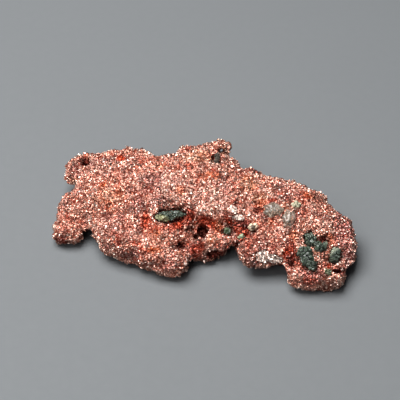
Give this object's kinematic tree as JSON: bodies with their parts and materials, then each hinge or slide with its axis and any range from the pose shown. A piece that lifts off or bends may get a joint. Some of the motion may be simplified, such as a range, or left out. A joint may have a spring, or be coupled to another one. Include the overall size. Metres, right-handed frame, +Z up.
{
  "type": "native copper nugget",
  "caption": "Flat ragged nugget of sparkling native copper with lobed ends, a beaked spur and green and colourless crystals held in pits.",
  "frame": {"origin": "on the surface the nugget lies on, under the middle of its bounding box", "axes": "+X along the long side, from the lobed end towards the rounded end; +Y towards the spur; +Z up, off the resting surface"},
  "size_m": [0.0644, 0.0374, 0.0136],
  "materials": {
    "copper": "sparkling crystalline native copper, pink-orange with red and brown tarnish in the hollows",
    "green_crystal": "dark slate-green crystal, half gloss, with paler rims",
    "pale_green_crystal": "pale grey-green crystal, half gloss",
    "olive_crystal": "olive-brown grain, half gloss",
    "clear_crystal": "colourless to grey crystal, glassy",
    "cream_crystal": "cream-coloured grain, half gloss",
    "host_rock": "dark grey-brown rock, dull"
  },
  "bodies": {
    "root": {"copper_nugget": "copper", "green_lens": "green_crystal", "green_bead": "green_crystal", "green_fleck": "pale_green_crystal", "green_upper_crystal": "green_crystal", "green_middle_crystal": "green_crystal", "green_large_cluster": "green_crystal", "green_right_crystal": "pale_green_crystal", "olive_grain": "olive_crystal", "clear_upper_crystal": "clear_crystal", "clear_lower_crystal": "clear_crystal", "pale_fleck": "pale_green_crystal", "pale_bead": "cream_crystal", "spur_matrix": "host_rock"}
  },
  "joints": []
}
